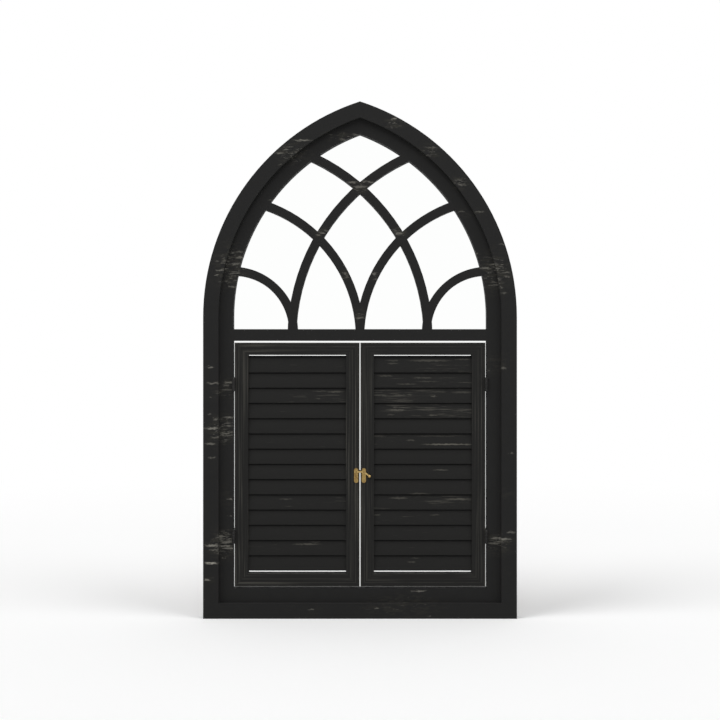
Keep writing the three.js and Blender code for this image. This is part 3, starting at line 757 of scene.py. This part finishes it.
screwHead = {
    "around": 24,
    "rings": 16,
    "cuts": (-0.5, -0.4, 0.4, 0.5),  # across the slot, in shares of its width
    "floorHalf": 0.45,  # half the floor of the slot, in the same shares
    "floor": 0.3,  # its height as a share of the dome's
    "smoothUpTo": 35,
}
hingeScrew = {
    "radius": 1.9 * mm,
    "dome": 0.12 * mm,
    "slot": 0.5 * mm,
    "apart": 16 * mm,
    "leaf": 1.1 * mm,  # a leaf's thickness
    # degrees a slot is turned: the first changes its sign at the lower screw, and the second is added
    "frameTurn": (35, 20),
    "doorTurn": (50, -10),
}
latchScrew = {
    "radius": 2.0 * mm,
    "dome": 0.5 * mm,
    "slot": 0.5 * mm,
    "below": 7.5 * mm,  # the plate's middle
    "plate": 1.2 * mm,  # its thickness
    "plates": {"catch_plate": ("left_door", 28), "hook_plate": ("right_door", -52)},  # door and turn
}


# A slotted head that stands on a surface at a point and faces away from it
def addScrew(name, look, point, facing, turned, material, body):
    solid = bmesh.new()
    bmesh.ops.create_uvsphere(solid, u_segments=screwHead["around"], v_segments=screwHead["rings"],
                              radius=look["radius"])
    cut = cutAcross(solid, (0, 0, 0), (0, 0, 1), keepAll=False)["geom_cut"]
    bmesh.ops.contextual_create(solid, geom=[e for e in cut if isinstance(e, bmesh.types.BMEdge)])
    for share in screwHead["cuts"]:
        cutAcross(solid, (share * look["slot"], 0, 0), (1, 0, 0))
    for vert in solid.verts:
        high = vert.co.z * look["dome"] / look["radius"]
        inSlot = abs(vert.co.x) < screwHead["floorHalf"] * look["slot"]
        vert.co.z = min(high, screwHead["floor"] * look["dome"]) if inSlot else high
    turnAbout(solid, Matrix.Rotation(math.radians(turned), 3, "Z"))
    turnAbout(solid, Vector(facing).to_track_quat("Z", "Y").to_matrix())
    bmesh.ops.translate(solid, vec=point, verts=solid.verts)
    shadeSmooth(solid, screwHead["smoothUpTo"])
    finish(solid, name, material, body)


def hingeScrews():
    look = hingeScrew
    stileX = abs(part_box("left_door_hinge_stile")[0].x)
    for door, inward in doors.items():
        leaves = (("frame", openingX - look["leaf"], inward, look["frameTurn"], "root"),
                  ("door", stileX + look["leaf"], -inward, look["doorTurn"], door))
        for place in ("upper", "lower"):
            low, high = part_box("%s_%s_hinge_frame_leaf" % (door, place))
            y = (panelY + high.y) / 2
            for number, side in enumerate((1, -1), 1):
                z = (low.z + high.z) / 2 + side * look["apart"] / 2
                for leaf, x, facing, (turn, more), body in leaves:
                    name = "%s_%s_hinge_%s_screw_%d" % (door, place, leaf, number)
                    addScrew(name, look, (-inward * x, y, z), (facing, 0, 0), turn * side + more, blackened,
                             body)


def latchScrews():
    look = latchScrew
    for plate, (door, turned) in look["plates"].items():
        low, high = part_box(plate)
        point = ((low.x + high.x) / 2, high.y - look["plate"], (low.z + high.z) / 2 - look["below"])
        addScrew(plate + "_screw", look, point, (0, -1, 0), turned, brass, door)


hingeScrews()
latchScrews()
print("screws added")


# ---- framer's points that hold the back board

framersPoint = {
    "width": 7 * mm,
    "reach": 6 * mm,
    "bite": 2 * mm,
    "thickness": 0.5 * mm,
    "toe": 0.3,  # the width in the wood and at the tip, as shares, and where it begins to narrow
    "tip": 0.5,
    "shoulder": 0.7,
    # where they are: along the bottom, up the jambs, and round the arches in degrees
    "bottom": (-170 * mm, 0, 170 * mm),
    "jamb": (110 * mm, 300 * mm, 480 * mm),
    "arch": (24, 52),
}


# A thin steel tab that lies on the back board and is driven into the rim's wall at a place, along inward
def addPoint(name, x, z, inwardX, inwardZ):
    look = framersPoint
    half, reach = look["width"] / 2, look["reach"]
    outline = [(-look["bite"], look["toe"] * half), (0, half), (look["shoulder"] * reach, half),
               (reach, look["tip"] * half)]
    outline += [(along, -across) for along, across in reversed(outline)]
    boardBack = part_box("back_board")[1].y
    solid = bmesh.new()
    corners = [(x + along * inwardX - across * inwardZ, z + along * inwardZ + across * inwardX)
               for along, across in outline]
    rings = [[solid.verts.new((cornerX, y, cornerZ)) for cornerX, cornerZ in corners]
             for y in (boardBack, boardBack + look["thickness"])]
    solid.faces.new(rings[0])
    solid.faces.new(reversed(rings[1]))
    for i in range(len(outline)):
        j = (i + 1) % len(outline)
        solid.faces.new((rings[0][j], rings[0][i], rings[1][i], rings[1][j]))
    bmesh.ops.recalc_face_normals(solid, faces=solid.faces)
    finish(solid, name, zinc, "root")


def framersPoints():
    rimStep = outsideX - rimInnerX
    # how far beyond the middle of the mirror an arch's circle has its centre
    centreX = ((apexZ - springZ) ** 2 - outsideX ** 2) / (2 * outsideX)
    rimRadius = outsideX + centreX - rimStep
    for number, x in enumerate(framersPoint["bottom"], 1):
        addPoint("bottom_framers_point_%d" % number, x, rimStep, 0, 1)
    for side, sign in (("left", -1), ("right", 1)):
        places = [(rimInnerX, z, 1, 0) for z in framersPoint["jamb"]]
        for angle in framersPoint["arch"]:
            out, up = math.cos(math.radians(angle)), math.sin(math.radians(angle))
            places.append((rimRadius * out - centreX, springZ + rimRadius * up, out, up))
        for number, (x, z, out, up) in enumerate(places, 1):
            addPoint("%s_framers_point_%d" % (side, number), sign * x, z, -sign * out, -up)


framersPoints()
print("framer's points added")


# ---- glass and back board

def setMaterial(node, material):
    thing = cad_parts[node]
    thing.data.materials.clear()
    thing.data.materials.append(material)


setMaterial("mirror_glass", silvered)
setMaterial("back_board", hardboard)


# ---- floor, light and camera

camera = {"distance": 2.600, "height": 0.503, "lens": 66.9, "sensor": 36}
floor = {"half": 30.0, "colour": (0.985, 0.985, 0.985, 1), "near": 1.3, "far": 3.2}
sky = 0.30  # what the white surroundings give to matt surfaces
bounce = 0.45  # the same for the floor
lampDistance = 4
lamps = {
    "left lamp": {"turn": -58, "rise": 48, "light": 1.20, "soft": 34},
    "right lamp": {"turn": 58, "rise": 48, "light": 0.82, "soft": 36},
    "front lamp": {"turn": 0, "rise": 38, "light": 0.54, "soft": 30},
    "top lamp": {"turn": 170, "rise": 80, "light": 0.34, "soft": 70},
}


# One where the camera sees a thing straight, mirrored or through glass, and share where it only lights
def seenOr(tree, share):
    rays = tree.nodes.new("ShaderNodeLightPath").outputs
    seen = calc(tree, "MAXIMUM", rays["Is Camera Ray"], rays["Is Glossy Ray"])
    seen = calc(tree, "MAXIMUM", seen, rays["Is Transmission Ray"])
    return calc(tree, "ADD", share, times(tree, seen, 1 - share))


def makeSurroundings():
    world = bpy.data.worlds.new("white studio")
    bpy.context.scene.world = world
    world.use_nodes = True
    tree = world.node_tree
    background = tree.nodes["Background"]
    background.inputs["Color"].default_value = (1, 1, 1, 1)
    tree.links.new(seenOr(tree, sky), background.inputs["Strength"])


# Pale floor that keeps the shadow near the object and turns plain white far away
def makeFloor():
    material = bpy.data.materials.new("pale floor")
    material.use_nodes = True
    tree = material.node_tree
    tree.nodes.remove(tree.nodes["Principled BSDF"])
    place = tree.nodes.new("ShaderNodeTexCoord").outputs["Object"]
    away = addNode(tree, "VectorMath", {"operation": "LENGTH"}, {"Vector": place}).outputs["Value"]
    pale = blendColours(tree, seenOr(tree, bounce), (0, 0, 0, 1), floor["colour"])
    matt = addNode(tree, "BsdfDiffuse", {}, {"Color": pale})
    white = addNode(tree, "Emission", {}, {"Color": (1, 1, 1, 1), "Strength": 1.0})
    both = tree.nodes.new("ShaderNodeMixShader")
    tree.links.new(softStep(tree, away, floor["near"], floor["far"]), both.inputs[0])
    tree.links.new(matt.outputs[0], both.inputs[1])
    tree.links.new(white.outputs[0], both.inputs[2])
    tree.links.new(both.outputs[0], tree.nodes["Material Output"].inputs["Surface"])
    sheet = bmesh.new()
    bmesh.ops.create_grid(sheet, x_segments=1, y_segments=1, size=floor["half"])
    mesh = bpy.data.meshes.new("floor")
    sheet.to_mesh(mesh)
    sheet.free()
    mesh.materials.append(material)
    addToScene("floor", mesh)


def makeLamps():
    for name, lamp in lamps.items():
        data = bpy.data.lights.new(name, "SUN")
        data.energy = lamp["light"]
        data.angle = math.radians(lamp["soft"])
        thing = addToScene(name, data)
        turn, rise = math.radians(lamp["turn"]), math.radians(lamp["rise"])
        source = Vector((math.sin(turn) * math.cos(rise), -math.cos(turn) * math.cos(rise), math.sin(rise)))
        thing.location = source * lampDistance
        thing.rotation_euler = source.to_track_quat("Z", "Y").to_euler()


def makeCamera():
    data = bpy.data.cameras.new("camera")
    data.lens = camera["lens"]
    data.sensor_width = camera["sensor"]
    thing = addToScene("camera", data)
    thing.location = (0, frontY - camera["distance"], camera["height"])
    thing.rotation_euler = (math.pi / 2, 0, 0)
    bpy.context.scene.camera = thing


makeSurroundings()
makeFloor()
makeLamps()
makeCamera()
bpy.context.scene.view_settings.view_transform = "Standard"
print("floor, light and camera set")
